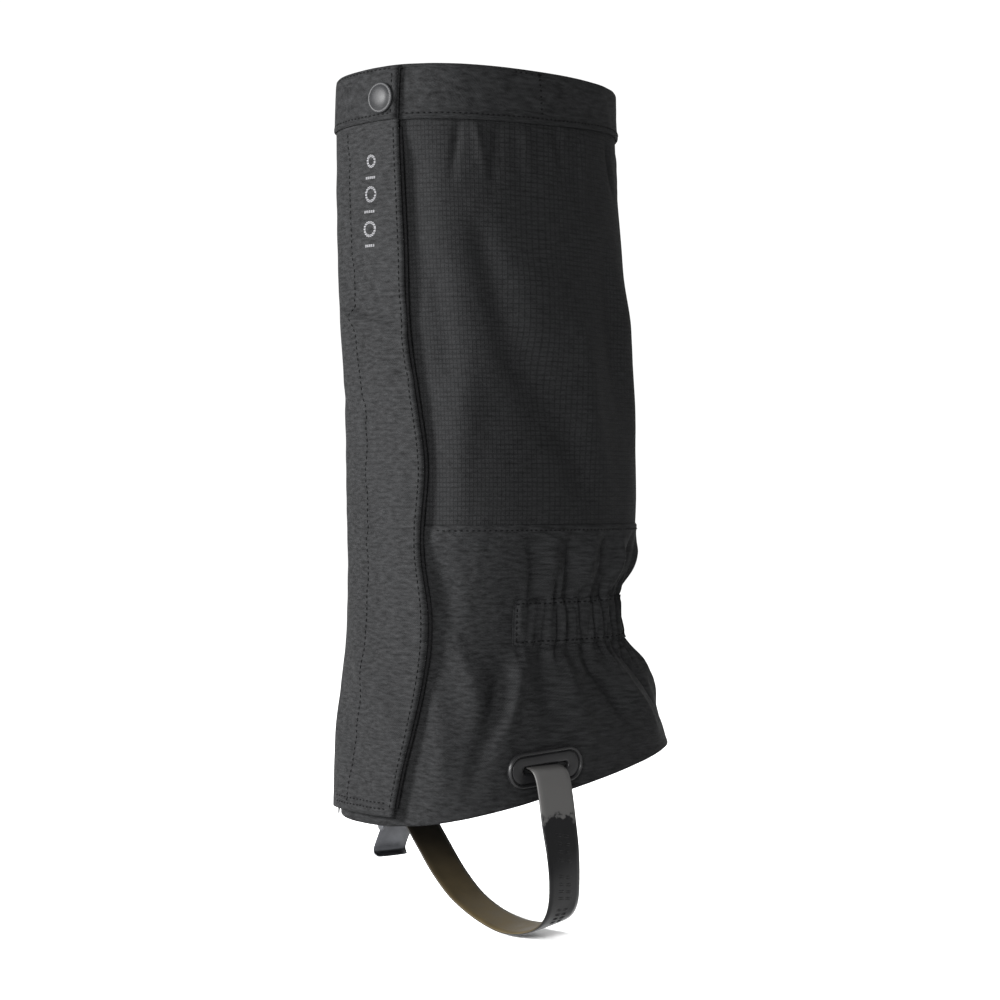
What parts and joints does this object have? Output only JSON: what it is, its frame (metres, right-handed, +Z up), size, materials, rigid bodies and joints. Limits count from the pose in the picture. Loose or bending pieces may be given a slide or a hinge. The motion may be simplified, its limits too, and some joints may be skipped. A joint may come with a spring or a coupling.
{
  "type": "mountain gaiter",
  "caption": "Full-height fabric mountain gaiter for the right leg, with a front hook-and-loop flap, snap, ankle elastic and underfoot strap with a cam buckle.",
  "frame": {"origin": "middle of the ankle elastic, on the axis of the ankle, where the gaiter is held on the leg", "axes": "+Z up the leg, +Y towards the heel, so the toe points to -Y, +X towards the medial side of the right leg"},
  "size_m": [0.1738, 0.2303, 0.4977],
  "materials": {
    "ripstop_cloth": "woven nylon ripstop, small square grid",
    "pack_cloth": "heavy plain-weave coated nylon",
    "tape_black": "hook and loop tape",
    "elastic_black": "woven elastic",
    "webbing_black": "flat woven webbing",
    "black_metal": "black oxide, satin",
    "moulded_black": "moulded nylon, polished rim",
    "strap_rubber": "smooth coated strap, slight gloss",
    "buckle_steel": "dark nickel-plated steel"
  },
  "bodies": {
    "gaiter": {"upper_panel": "ripstop_cloth", "lower_panel": "pack_cloth", "underlap": "pack_cloth", "loop_tape": "tape_black", "flap_root": "pack_cloth", "top_band": "pack_cloth", "band_facing": "pack_cloth", "ankle_elastic": "elastic_black", "ankle_casing": "pack_cloth", "hem_facing": "pack_cloth", "snap_stud": "black_metal", "snap_post": "black_metal", "eyelet_front": "moulded_black", "eyelet_back": "moulded_black", "eyelet_barrel": "moulded_black", "underfoot_strap": "strap_rubber", "strap_stop": "moulded_black", "buckle_frame": "buckle_steel", "buckle_pin": "buckle_steel", "buckle_tab": "webbing_black"},
    "flap": {"outer_flap": "pack_cloth", "hook_tape": "tape_black", "band_tab": "pack_cloth", "snap_cap": "black_metal", "snap_socket": "black_metal"},
    "lever": {"buckle_lever": "buckle_steel"}
  },
  "joints": [
    {"name": "flap_hinge", "type": "hinge", "parent": "gaiter", "child": "flap", "pos_m": [-0.034, -0.08, 0.1], "axis": [0, 0, -1], "range_deg": [0, 120]},
    {"name": "lever_hinge", "type": "hinge", "parent": "gaiter", "child": "lever", "pos_m": [-0.0756, -0.006, -0.124], "axis": [0, 1, 0], "range_deg": [0, 60]}
  ]
}
